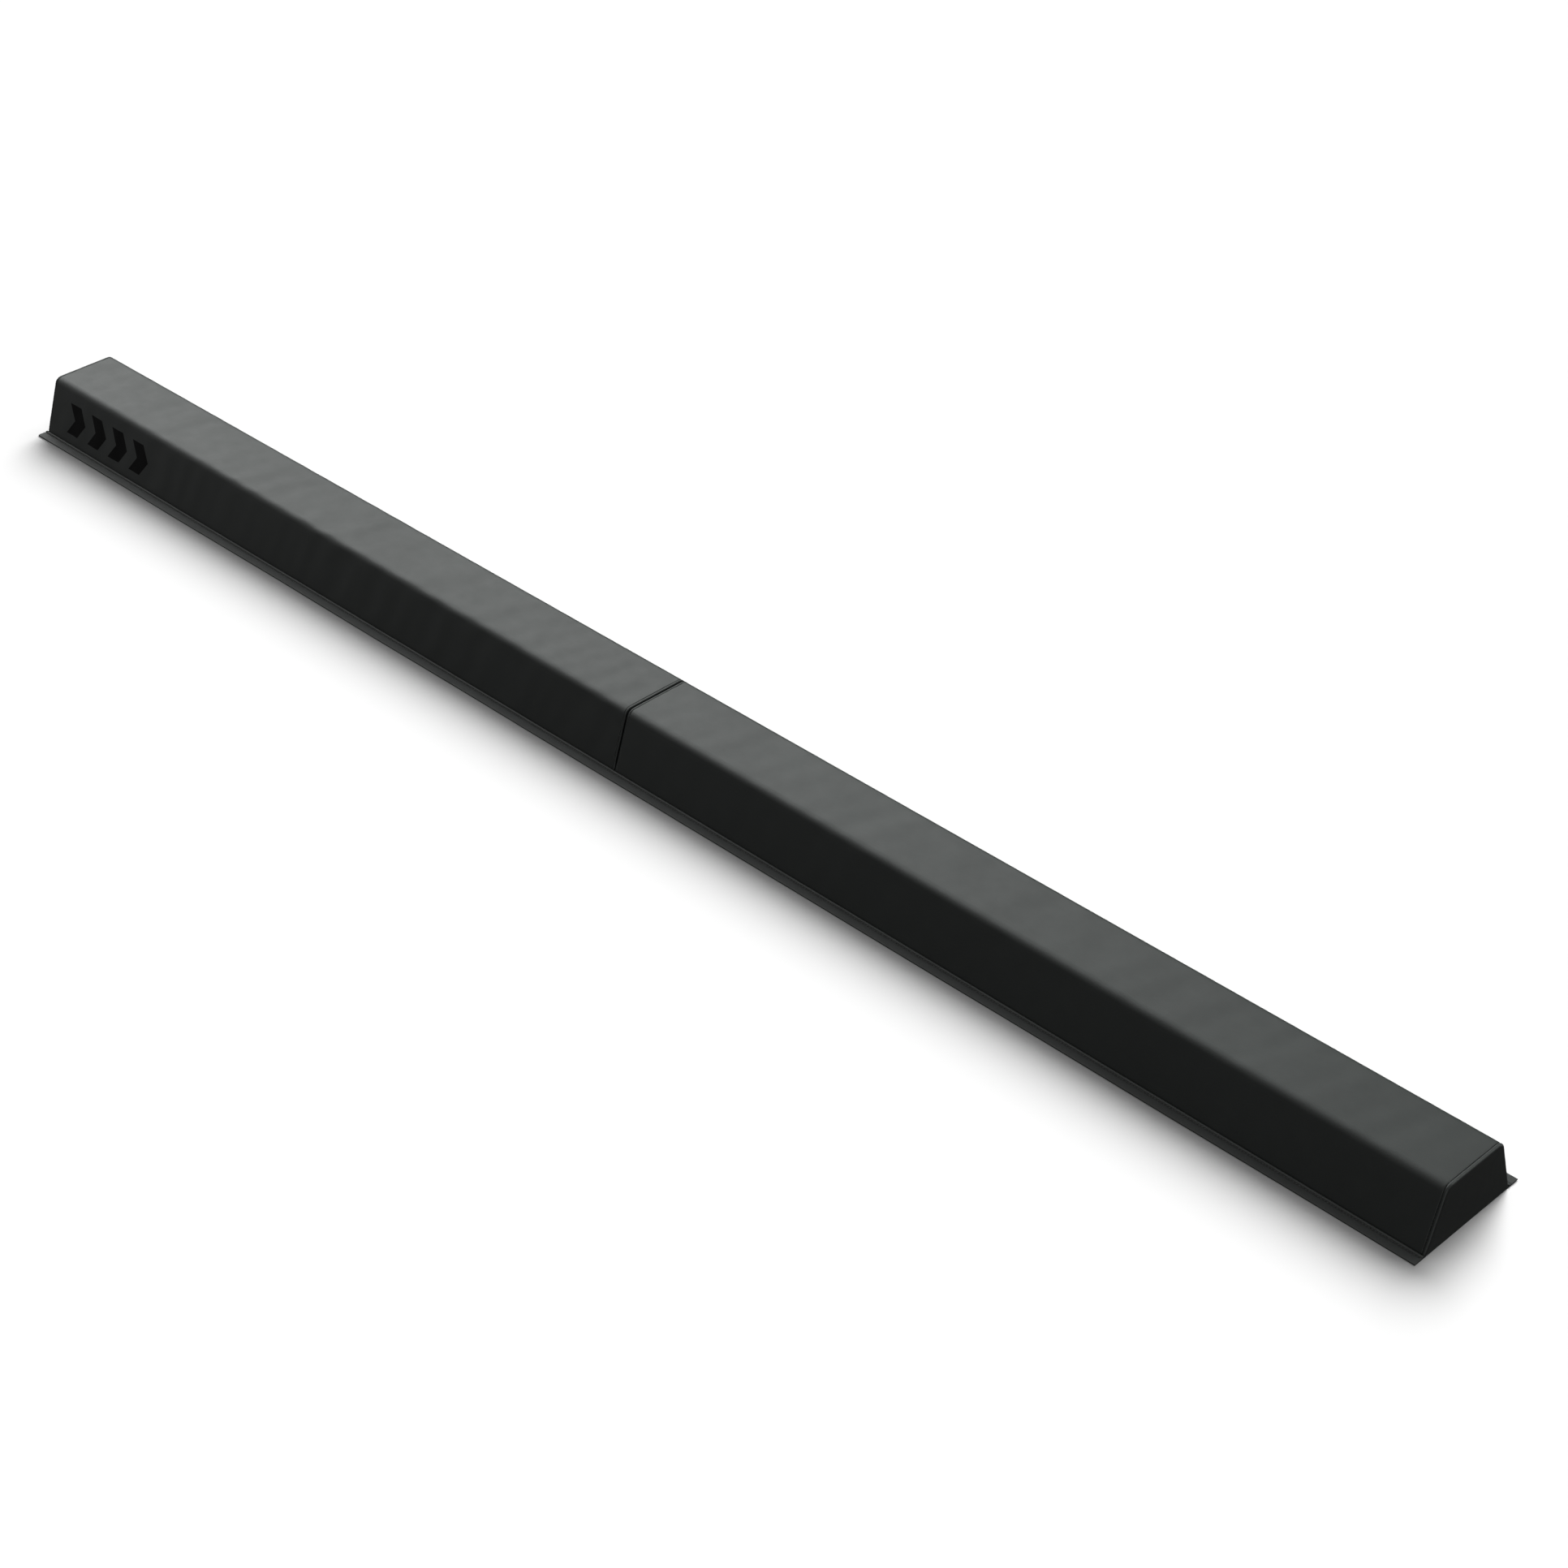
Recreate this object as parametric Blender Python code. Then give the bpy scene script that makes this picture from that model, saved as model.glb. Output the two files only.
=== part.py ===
"""Folding floor balance beam.

Two foam halves stand end to end on a thin base sheet. Each half is a laminated
foam block in a sewn cover: one wrap over the top and both leaning sides, and an
end panel at each end whose edge is rounded over and sewn to the wrap. The base
sheet is wider than the block, so it stands out as a flat flange along both long
sides, where a hem strip is stitched on top of it. The halves fold underside to
underside about the line where the base sheet bends.

Axes: +X along the beam, +Y across it, +Z up. The origin is on the floor, in the
middle of the length and of the width. The left half is at -X, the right at +X.
"""

import math

import bmesh
import bpy

# Overall size, in metres
LENGTH = 2.400
TOTAL_WIDTH = 0.1789  # across both flanges
HEIGHT = 0.0786
TOP_WIDTH = 0.0954  # between the sharp corners of the top
FOOT_WIDTH = 0.1463  # across the feet of the leaning sides

# Sheets and gaps
BASE_SHEET = 0.0008  # thickness of the base sheet
HEM_STRIP = 0.0007  # thickness of the strip stitched over each flange
COVER = 0.0010  # thickness of the cover sheet, with its backing
GAP = 0.0003  # clearance between pieces that touch

# Cover
TOP_EDGE_RADIUS = 0.0115
END_EDGE_RADIUS = 0.0028  # rounding from an end panel's face onto its lip
END_LIP = 0.0032  # how far an end panel's lip reaches back from the end face
SEAM_THREAD = 0.0010  # diameter of the bead sewn between a lip and the wrap

# Foam
TOP_LAYER = 0.0190  # softer layer under the top

# Fold line
HINGE_HALF_GAP = 0.0005  # from the fold line to each half's hinge end
HINGE_DROP = 0.0002  # the fold axis is this far under the base sheets

# Hem
RIDGE_WIDTH = 0.0030  # raised inner edge of the hem strip, against the side's foot
RIDGE_HEIGHT = 0.0013  # above the flange
STITCH_OUT = 0.0045  # stitch line, outwards from the side's foot
STITCH_GROOVE = 0.0015  # width of the groove that the stitching pulls in
STITCH_DEPTH = 0.00035
HEM_THREAD = 0.0008  # diameter

ARC_STEPS = 8  # facets round each top edge
LIP_STEPS = 4  # facets round an end panel's edge

# Worked out from the above
FLANGE_TOP = BASE_SHEET + GAP + HEM_STRIP
BLOCK_FOOT = BASE_SHEET + GAP
LEAN = math.atan2((FOOT_WIDTH - TOP_WIDTH) / 2, HEIGHT - FLANGE_TOP)  # of the sides
SEAM_GAP = SEAM_THREAD + 2 * GAP  # between a lip's edge and the wrap's edge


def clear_scene():
    for obj in list(bpy.data.objects):
        bpy.data.objects.remove(obj, do_unlink=True)


def principled(name, colour, roughness, metallic=0.0):
    """A material of the piece's own."""
    material = bpy.data.materials.new(name)
    material.use_nodes = True
    shader = material.node_tree.nodes["Principled BSDF"]
    shader.inputs["Base Color"].default_value = (*colour, 1.0)
    shader.inputs["Roughness"].default_value = roughness
    shader.inputs["Metallic"].default_value = metallic
    return material


BLACK_COVER = ((0.022, 0.023, 0.022), 0.55)
GREY_SHEET = ((0.055, 0.056, 0.052), 0.75)
BLACK_THREAD = ((0.015, 0.015, 0.015), 0.80)
CORE_FOAM = ((0.62, 0.64, 0.66), 0.95)
SOFT_FOAM = ((0.30, 0.42, 0.58), 0.95)


def side_y(z, inset=0.0):
    """Half width at height z of the block's side, moved in by inset."""
    return TOP_WIDTH / 2 + (-inset - (z - HEIGHT) * math.sin(LEAN)) / math.cos(LEAN)


def over_profile(inset, foot, ceiling=None):
    """(y, z) points from the far foot over the top to the near foot.

    inset moves the cover's outer surface inwards. A ceiling cuts the shape off
    flat below the rounded edges.
    """
    if ceiling is not None:
        half = [(side_y(foot, inset), foot), (side_y(ceiling, inset), ceiling)]
    else:
        radius = max(TOP_EDGE_RADIUS - inset, 0.001)
        reach = inset + radius
        centre_y = TOP_WIDTH / 2 - reach * (1 - math.sin(LEAN)) / math.cos(LEAN)
        centre_z = HEIGHT - reach
        half = [(side_y(foot, inset), foot)]
        for step in range(ARC_STEPS + 1):
            angle = LEAN + (math.pi / 2 - LEAN) * step / ARC_STEPS
            half.append(
                (centre_y + radius * math.cos(angle), centre_z + radius * math.sin(angle))
            )
    return half + [(-y, z) for y, z in reversed(half)]


def finish_mesh(name, work, finish, smooth=False):
    bmesh.ops.recalc_face_normals(work, faces=work.faces)
    mesh = bpy.data.meshes.new(name)
    work.to_mesh(mesh)
    work.free()
    if smooth:
        mesh.shade_smooth()
        mesh.set_sharp_from_angle(angle=math.radians(35))
    mesh.materials.append(principled(name, *finish))
    obj = bpy.data.objects.new(name, mesh)
    bpy.context.scene.collection.objects.link(obj)
    return obj


def extruded(name, outline, x0, x1, finish, smooth=False):
    """A prism: a closed (y, z) outline extruded from x0 to x1."""
    work = bmesh.new()
    face = work.faces.new([work.verts.new((x0, y, z)) for y, z in outline])
    grown = bmesh.ops.extrude_face_region(work, geom=[face])
    moved = [v for v in grown["geom"] if isinstance(v, bmesh.types.BMVert)]
    bmesh.ops.translate(work, verts=moved, vec=(x1 - x0, 0, 0))
    return finish_mesh(name, work, finish, smooth)


def foam_block(name, foot, ceiling, x_low, x_high, finish):
    """A block inside the cover, with its end edges cut back to clear the rounded lips."""
    inset = COVER + GAP
    cut = END_EDGE_RADIUS - inset + 0.0002
    rings = [(x_low, cut), (x_low + cut, 0.0), (x_high - cut, 0.0), (x_high, cut)]
    work = bmesh.new()
    loops = []
    for x, extra in rings:
        top = None if ceiling is None else ceiling
        loops.append(
            [work.verts.new((x, y, z)) for y, z in over_profile(inset + extra, foot, top)]
        )
    for a, b in zip(loops, loops[1:]):
        for i in range(len(a)):
            j = (i + 1) % len(a)
            work.faces.new((a[i], a[j], b[j], b[i]))
    work.faces.new(loops[0])
    work.faces.new(list(reversed(loops[-1])))
    return finish_mesh(name, work, finish)


def cover_wrap(name, x0, x1):
    """The one sheet over the top and both sides, open underneath and at its ends."""
    outer = over_profile(0.0, BLOCK_FOOT)
    inner = over_profile(COVER, BLOCK_FOOT)
    return extruded(name, outer + list(reversed(inner)), x0, x1, BLACK_COVER, smooth=True)


def end_panel(name, x_face, inwards):
    """A flat panel whose edge is rounded over into a short lip.

    inwards is +1 where the half lies towards +X from the face, and -1 where it
    lies towards -X. The panel is open below, where the base sheet closes it.
    """
    work = bmesh.new()
    outer, inner = [], []
    radius = END_EDGE_RADIUS
    outer_rings = [(END_LIP, 0.0)]
    inner_rings = [(END_LIP, COVER)]
    for step in range(LIP_STEPS + 1):
        turn = math.pi / 2 * step / LIP_STEPS
        outer_rings.append((radius * (1 - math.sin(turn)), radius * (1 - math.cos(turn))))
        inner_rings.append(
            (
                radius - (radius - COVER) * math.sin(turn),
                radius - (radius - COVER) * math.cos(turn),
            )
        )
    for rings, loops in ((outer_rings, outer), (inner_rings, inner)):
        for depth, inset in rings:
            x = x_face + inwards * depth
            loops.append(
                [work.verts.new((x, y, z)) for y, z in over_profile(inset, BLOCK_FOOT)]
            )
    last = len(outer[0]) - 1
    for loops in (outer, inner):
        for a, b in zip(loops, loops[1:]):
            for i in range(last):
                work.faces.new((a[i], a[i + 1], b[i + 1], b[i]))
        work.faces.new(loops[-1])
    for i in range(last):  # the lip's own edge, beside the seam
        work.faces.new((outer[0][i], outer[0][i + 1], inner[0][i + 1], inner[0][i]))
    for k in range(len(outer) - 1):  # the cut edges at the feet of the lip
        for i in (0, last):
            work.faces.new((outer[k][i], outer[k + 1][i], inner[k + 1][i], inner[k][i]))
    work.faces.new((outer[-1][0], outer[-1][last], inner[-1][last], inner[-1][0]))
    return finish_mesh(name, work, BLACK_COVER, smooth=True)


def thread(name, points, diameter):
    """A round thread or bead along a path, with closed ends."""
    curve = bpy.data.curves.new(name, "CURVE")
    curve.dimensions = "3D"
    curve.bevel_depth = diameter / 2
    curve.bevel_resolution = 2
    curve.use_fill_caps = True
    spline = curve.splines.new("POLY")
    spline.points.add(len(points) - 1)
    for point, place in zip(spline.points, points):
        point.co = (*place, 1.0)
    curve.materials.append(principled(name, *BLACK_THREAD))
    obj = bpy.data.objects.new(name, curve)
    bpy.context.scene.collection.objects.link(obj)
    return obj


def seam_thread(name, x):
    """The bead that fills the seam between an end panel's lip and the wrap."""
    depth = SEAM_THREAD / 2
    path = over_profile(depth, BLOCK_FOOT + GAP)
    return thread(name, [(x, y, z) for y, z in path], SEAM_THREAD)


def base_sheet(name, x0, x1):
    """One half of the base sheet, flat on the floor."""
    half = TOTAL_WIDTH / 2
    outline = [(-half, 0.0), (half, 0.0), (half, BASE_SHEET), (-half, BASE_SHEET)]
    return extruded(name, outline, x0, x1, GREY_SHEET)


def hem_outline():
    """(y, z) section of the far hem strip: a rounded ridge against the side's foot,
    the stitch groove, then the flat flange."""
    foot = FOOT_WIDTH / 2
    inner = side_y(BLOCK_FOOT) + GAP + 0.00005
    outer = TOTAL_WIDTH / 2
    stitch = foot + STITCH_OUT
    ridge_out = stitch - STITCH_GROOVE / 2 - 0.0002
    crest = FLANGE_TOP + RIDGE_HEIGHT
    points = [(outer, BLOCK_FOOT), (outer, FLANGE_TOP)]
    points += [(stitch + STITCH_GROOVE / 2 + 0.0003, FLANGE_TOP)]
    points += [(stitch + STITCH_GROOVE / 2, FLANGE_TOP - STITCH_DEPTH)]
    points += [(stitch - STITCH_GROOVE / 2, FLANGE_TOP - STITCH_DEPTH)]
    points += [(ridge_out, FLANGE_TOP)]
    middle = (inner + ridge_out) / 2
    half = (ridge_out - inner) / 2
    for step in range(1, 6):
        turn = math.pi * step / 6
        points.append(
            (middle + half * math.cos(turn), FLANGE_TOP + (crest - FLANGE_TOP) * math.sin(turn))
        )
    points += [(inner, FLANGE_TOP), (inner, BLOCK_FOOT)]
    return points


def hem_strip(name, side, x0, x1):
    """The strip stitched over the flange; side is +1 for the far one, -1 for the near."""
    outline = [(side * y, z) for y, z in hem_outline()]
    return extruded(name, outline, x0, x1, GREY_SHEET)


def hem_stitch(name, side, x0, x1):
    """The stitching that holds the hem strip to the base sheet."""
    y = side * (FOOT_WIDTH / 2 + STITCH_OUT)
    z = FLANGE_TOP - STITCH_DEPTH + GAP + HEM_THREAD / 2
    inset = 0.002
    return thread(name, [(x0 + inset, y, z), (x1 - inset, y, z)], HEM_THREAD)


def build_half(suffix, x_low, x_high, outer_end):
    """All of one half's pieces, between x_low and x_high.

    outer_end is the x of the half's free end; its other end is at the fold.
    """
    pieces = []
    foam_low, foam_high = x_low + COVER + GAP, x_high - COVER - GAP
    split = HEIGHT - COVER - GAP - TOP_LAYER
    pieces.append(
        foam_block("foam_core_" + suffix, BLOCK_FOOT, split - GAP, foam_low, foam_high, CORE_FOAM)
    )
    pieces.append(
        foam_block("foam_top_layer_" + suffix, split, None, foam_low, foam_high, SOFT_FOAM)
    )
    wrap_inset = END_LIP + SEAM_GAP
    pieces.append(cover_wrap("cover_wrap_" + suffix, x_low + wrap_inset, x_high - wrap_inset))
    for x_face, inwards in ((x_low, 1), (x_high, -1)):
        end = "outer" if abs(x_face - outer_end) < 1e-9 else "hinge"
        pieces.append(end_panel("end_panel_" + end + "_" + suffix, x_face, inwards))
        seam_x = x_face + inwards * (END_LIP + SEAM_GAP / 2)
        pieces.append(seam_thread("seam_thread_" + end + "_" + suffix, seam_x))
    pieces.append(base_sheet("base_sheet_" + suffix, x_low, x_high))
    for side, word in ((-1, "near"), (1, "far")):
        pieces.append(hem_strip("hem_strip_" + word + "_" + suffix, side, x_low, x_high))
        pieces.append(hem_stitch("hem_stitch_" + word + "_" + suffix, side, x_low, x_high))
    return pieces


def main():
    clear_scene()
    build_half("left", -LENGTH / 2, -HINGE_HALF_GAP, -LENGTH / 2)
    turning = build_half("right", HINGE_HALF_GAP, LENGTH / 2, LENGTH / 2)
    # The right half turns about the fold line, just under the base sheets.
    axis = bpy.data.objects.new("fold_axis", None)
    axis.empty_display_size = 0.1
    axis.location = (0.0, 0.0, -HINGE_DROP)
    bpy.context.scene.collection.objects.link(axis)
    for piece in turning:
        piece.parent = axis
        piece.location = (0.0, 0.0, HINGE_DROP)
    bpy.context.view_layer.update()


main()
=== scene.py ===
"""The looks of a folding floor balance beam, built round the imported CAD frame."""

import math

import bmesh
import bpy
import numpy as np
from mathutils import Matrix, Vector


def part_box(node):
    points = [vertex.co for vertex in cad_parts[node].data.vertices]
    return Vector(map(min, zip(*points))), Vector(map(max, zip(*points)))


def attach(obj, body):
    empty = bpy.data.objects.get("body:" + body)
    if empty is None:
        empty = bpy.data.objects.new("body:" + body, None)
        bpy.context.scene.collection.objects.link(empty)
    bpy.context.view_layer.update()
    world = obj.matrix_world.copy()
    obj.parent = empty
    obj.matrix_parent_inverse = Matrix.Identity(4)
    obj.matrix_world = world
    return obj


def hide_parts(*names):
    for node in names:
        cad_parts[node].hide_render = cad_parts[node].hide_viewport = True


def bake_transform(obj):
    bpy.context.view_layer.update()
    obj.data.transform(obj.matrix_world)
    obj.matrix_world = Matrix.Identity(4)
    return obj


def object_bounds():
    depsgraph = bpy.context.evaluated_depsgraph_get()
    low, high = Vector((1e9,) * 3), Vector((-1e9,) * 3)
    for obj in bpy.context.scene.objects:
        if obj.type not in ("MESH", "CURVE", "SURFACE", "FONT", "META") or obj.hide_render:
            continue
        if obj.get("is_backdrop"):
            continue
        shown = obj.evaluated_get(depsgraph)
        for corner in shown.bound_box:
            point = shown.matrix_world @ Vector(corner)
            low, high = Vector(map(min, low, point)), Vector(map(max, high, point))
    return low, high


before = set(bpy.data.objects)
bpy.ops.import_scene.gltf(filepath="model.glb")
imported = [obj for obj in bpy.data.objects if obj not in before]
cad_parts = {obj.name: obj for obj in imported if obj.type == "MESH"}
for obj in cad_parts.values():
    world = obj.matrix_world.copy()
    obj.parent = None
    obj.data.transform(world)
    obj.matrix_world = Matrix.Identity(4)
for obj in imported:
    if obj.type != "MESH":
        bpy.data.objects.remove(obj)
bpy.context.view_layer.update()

# ---------------------------------------------------------------- sizes, metres
TOTAL_WIDTH = 0.1789
HEIGHT = 0.0786
TOP_WIDTH = 0.0954
FOOT_WIDTH = 0.1463
FLANGE_TOP = 0.0018
BLOCK_FOOT = 0.0011
COVER = 0.0010
TOP_EDGE_RADIUS = 0.0115
END_RADIUS = 0.0028
HINGE_RADIUS = 0.0019
END_PROUD = 0.0002  # the end panels' rounded edges stand out from the wrap
SEAM_IN = 0.0040  # from an end face to the middle of its seam
HINGE_GAP = 0.0005
LEAN = math.atan2((FOOT_WIDTH - TOP_WIDTH) / 2, HEIGHT - FLANGE_TOP)
COS, SIN = math.cos(LEAN), math.sin(LEAN)
BEND = 0.0015  # the base sheet bends within this of the fold line
MM = 0.001

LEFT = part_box("base_sheet_left")
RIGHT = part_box("base_sheet_right")
X_LOW, X_HIGH = LEFT[0].x, RIGHT[1].x


# ---------------------------------------------------------------- section of a half
def side_y(z, inset=0.0):
    return TOP_WIDTH / 2 + (-inset - (z - HEIGHT) * SIN) / COS


def section(side_cells=12, arc_cells=9, top_cells=15):
    """The cover's outer section from the far foot over the top to the near foot:
    points (y, z), outward normals and arc length. Moving a point inwards along its
    normal by less than the edge radius gives the offset section exactly."""
    radius = TOP_EDGE_RADIUS
    cy = TOP_WIDTH / 2 - radius * (1 - SIN) / COS
    cz = HEIGHT - radius
    joint = (cy + radius * COS, cz + radius * SIN)
    foot = (side_y(BLOCK_FOOT), BLOCK_FOOT)
    pts, nrm = [], []
    for i in range(side_cells):
        t = i / side_cells
        pts.append((foot[0] + (joint[0] - foot[0]) * t, foot[1] + (joint[1] - foot[1]) * t))
        nrm.append((COS, SIN))
    for i in range(arc_cells):
        a = LEAN + (math.pi / 2 - LEAN) * i / arc_cells
        pts.append((cy + radius * math.cos(a), cz + radius * math.sin(a)))
        nrm.append((math.cos(a), math.sin(a)))
    for i in range(top_cells // 2 + 1):
        pts.append((cy * (1 - 2 * i / top_cells), HEIGHT))
        nrm.append((0.0, 1.0))
    pts += [(-y, z) for y, z in reversed(pts)]
    nrm += [(-y, z) for y, z in reversed(nrm)]
    pts, nrm = np.array(pts), np.array(nrm)
    keep = [0]
    for i in range(1, len(pts)):
        if np.linalg.norm(pts[i] - pts[keep[-1]]) > 1e-6:
            keep.append(i)
    pts, nrm = pts[keep], nrm[keep]
    s = np.concatenate([[0], np.cumsum(np.linalg.norm(np.diff(pts, axis=0), axis=1))])
    return pts, nrm, s


SECTION_P, SECTION_N, SECTION_S = section()
AROUND = SECTION_S[-1]


# ---------------------------------------------------------------- mesh helpers
def new_object(name, verts, faces, smooth_angle=40.0):
    mesh = bpy.data.meshes.new(name)
    mesh.from_pydata([tuple(v) for v in verts], [], [tuple(f) for f in faces])
    work = bmesh.new()
    work.from_mesh(mesh)
    bmesh.ops.remove_doubles(work, verts=work.verts, dist=2e-6)
    bmesh.ops.dissolve_degenerate(work, edges=work.edges, dist=1e-6)
    bmesh.ops.recalc_face_normals(work, faces=work.faces)
    work.to_mesh(mesh)
    work.free()
    mesh.shade_smooth()
    mesh.set_sharp_from_angle(angle=math.radians(smooth_angle))
    obj = bpy.data.objects.new(name, mesh)
    bpy.context.scene.collection.objects.link(obj)
    return obj


def shell(name, outer, inner, smooth_angle=40.0):
    """A closed skin from two grids of points, both [rows, columns, 3]."""
    rows, cols = outer.shape[:2]
    verts = np.concatenate([outer.reshape(-1, 3), inner.reshape(-1, 3)])
    shift = rows * cols
    faces = []
    for i in range(rows - 1):
        for j in range(cols - 1):
            a, b = i * cols + j, i * cols + j + 1
            c, d = (i + 1) * cols + j + 1, (i + 1) * cols + j
            faces.append((a, b, c, d))
            faces.append((shift + d, shift + c, shift + b, shift + a))
    for i in range(rows - 1):
        for j in (0, cols - 1):
            a, d = i * cols + j, (i + 1) * cols + j
            faces.append((a, d, shift + d, shift + a))
    for j in range(cols - 1):
        for i in (0, rows - 1):
            a, b = i * cols + j, i * cols + j + 1
            faces.append((b, a, shift + a, shift + b))
    return new_object(name, verts, faces, smooth_angle)


def swept(name, loops, smooth_angle=40.0):
    """A closed solid through closed loops of equal length, [stations, points, 3]."""
    n, m = loops.shape[:2]
    faces = []
    for i in range(n - 1):
        for j in range(m):
            k = (j + 1) % m
            faces.append((i * m + j, i * m + k, (i + 1) * m + k, (i + 1) * m + j))
    faces.append(tuple(range(m)))
    faces.append(tuple((n - 1) * m + j for j in reversed(range(m))))
    return new_object(name, loops.reshape(-1, 3), faces, smooth_angle)


def waves(seed, count, low, high, power=1.0):
    """A smooth random function of one length, with wavelengths from low to high."""
    rng = np.random.default_rng(seed)
    lengths = np.exp(rng.uniform(math.log(low), math.log(high), count))
    phase = rng.uniform(0, 2 * math.pi, count)
    size = (lengths / high) ** power
    size /= math.sqrt((size**2).sum() / 2)

    def value(x):
        x = np.asarray(x, float)
        return sum(
            a * np.sin(2 * math.pi * x / l + p) for a, l, p in zip(size, lengths, phase)
        )

    return value


# ---------------------------------------------------------------- cloth relief
def cloth_relief(seed, x0, x1, slack, hold, bend, gain, frames=24):
    """Soft ripples of a cover cut a little long for its foam: a cloth simulation of the
    wrap, held at its feet and seams and lightly by the foam, whose flat cut is longer than
    the block. Returns the relief along the outward normal as a function of x and arc length."""
    pts, nrm, s = section(9, 4, 11)
    xs = np.linspace(x0, x1, 170)
    rows, cols = len(xs), len(s)
    v = s / s[-1]
    u = (xs - x0) / (x1 - x0)
    rest = np.zeros((rows, cols, 3))
    rest[:, :, 0] = xs[:, None]
    rest[:, :, 1:] = pts[None, :, :]
    # Laid over the foam, the first wave of every ripple already leans across the beam.
    start = rest.copy()
    lean = 0.24 * (s - SECTION_S[-1] / 2)
    field = waves(seed + 1, 14, 0.030, 0.10, 0.3)(xs[:, None] + lean[None, :]) * 0.00012
    start[:, :, 1:] += field[:, :, None] * nrm[None, :, :]
    start[0], start[-1], start[:, 0], start[:, -1] = rest[0], rest[-1], rest[:, 0], rest[:, -1]
    faces = [
        (i * cols + j, i * cols + j + 1, (i + 1) * cols + j + 1, (i + 1) * cols + j)
        for i in range(rows - 1)
        for j in range(cols - 1)
    ]
    mesh = bpy.data.meshes.new("relief_sheet")
    mesh.from_pydata([tuple(p) for p in start.reshape(-1, 3)], [], faces)
    obj = bpy.data.objects.new("relief_sheet", mesh)
    bpy.context.scene.collection.objects.link(obj)
    pin = obj.vertex_groups.new(name="pin")
    free = []
    for i in range(rows):
        for j in range(cols):
            if i in (0, rows - 1) or j in (0, cols - 1):
                pin.add([i * cols + j], 1.0, "REPLACE")
            else:
                free.append(i * cols + j)
    pin.add(free, hold, "REPLACE")
    cloth = obj.modifiers.new("cloth", "CLOTH")
    set_up = cloth.settings
    set_up.quality = 7
    set_up.mass = 0.3
    set_up.air_damping = 2.0
    set_up.tension_stiffness = 80
    set_up.compression_stiffness = 80
    set_up.shear_stiffness = 30
    set_up.bending_stiffness = bend
    set_up.vertex_group_mass = "pin"
    set_up.pin_stiffness = 1.0
    set_up.shrink_min = set_up.shrink_max = -slack
    set_up.effector_weights.gravity = 0.0
    cloth.collision_settings.use_collision = False
    cloth.collision_settings.use_self_collision = False
    cloth.point_cache.frame_start, cloth.point_cache.frame_end = 1, frames
    scene = bpy.context.scene
    for number in range(1, frames + 1):
        scene.frame_set(number)
    graph = bpy.context.evaluated_depsgraph_get()
    done = obj.evaluated_get(graph)
    moved = np.array([p.co for p in done.data.vertices]).reshape(rows, cols, 3)
    scene.frame_set(1)
    bpy.data.objects.remove(obj, do_unlink=True)
    bpy.data.meshes.remove(mesh)
    raw = ((moved - rest)[:, :, 1:] * nrm[None, :, :]).sum(axis=2)
    raw -= raw[8:-8].mean(axis=0)[None, :]
    raw[1:-1] = (raw[:-2] + 2 * raw[1:-1] + raw[2:]) / 4
    raw[:, 1:-1] = (raw[:, :-2] + 2 * raw[:, 1:-1] + raw[:, 2:]) / 4
    print("relief spread mm", round(float(raw.std()) * 1000, 4), round(float(abs(raw).max()) * 1000, 4))
    cap = 0.00055
    raw = cap * np.tanh(raw * gain / cap)
    edge = np.clip(np.minimum(u, 1 - u) * (x1 - x0) / 0.03, 0, 1)
    foot = np.clip(np.minimum(v, 1 - v) * AROUND / 0.015, 0, 1)
    raw *= (edge * edge * (3 - 2 * edge))[:, None] * (foot * foot * (3 - 2 * foot))[None, :]

    def value(x, t):
        x, t = np.broadcast_arrays(np.asarray(x, float), np.asarray(t, float))
        fi = np.clip((x - x0) / (x1 - x0), 0, 1) * (rows - 1)
        fj = np.interp(t, s, np.arange(cols))
        total = 0.0
        # Cubic between the simulated points, so that the ripples stay smooth.
        i, j = np.floor(fi).astype(int), np.floor(fj).astype(int)
        a, b = fi - i, fj - j
        wa = (-0.5 * a + a**2 - 0.5 * a**3, 1 - 2.5 * a**2 + 1.5 * a**3, 0.5 * a + 2 * a**2 - 1.5 * a**3, -0.5 * a**2 + 0.5 * a**3)
        wb = (-0.5 * b + b**2 - 0.5 * b**3, 1 - 2.5 * b**2 + 1.5 * b**3, 0.5 * b + 2 * b**2 - 1.5 * b**3, -0.5 * b**2 + 0.5 * b**3)
        for p in range(4):
            for q in range(4):
                total = total + wa[p] * wb[q] * raw[
                    np.clip(i + p - 1, 0, rows - 1), np.clip(j + q - 1, 0, cols - 1)
                ]
        return total

    return value


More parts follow.
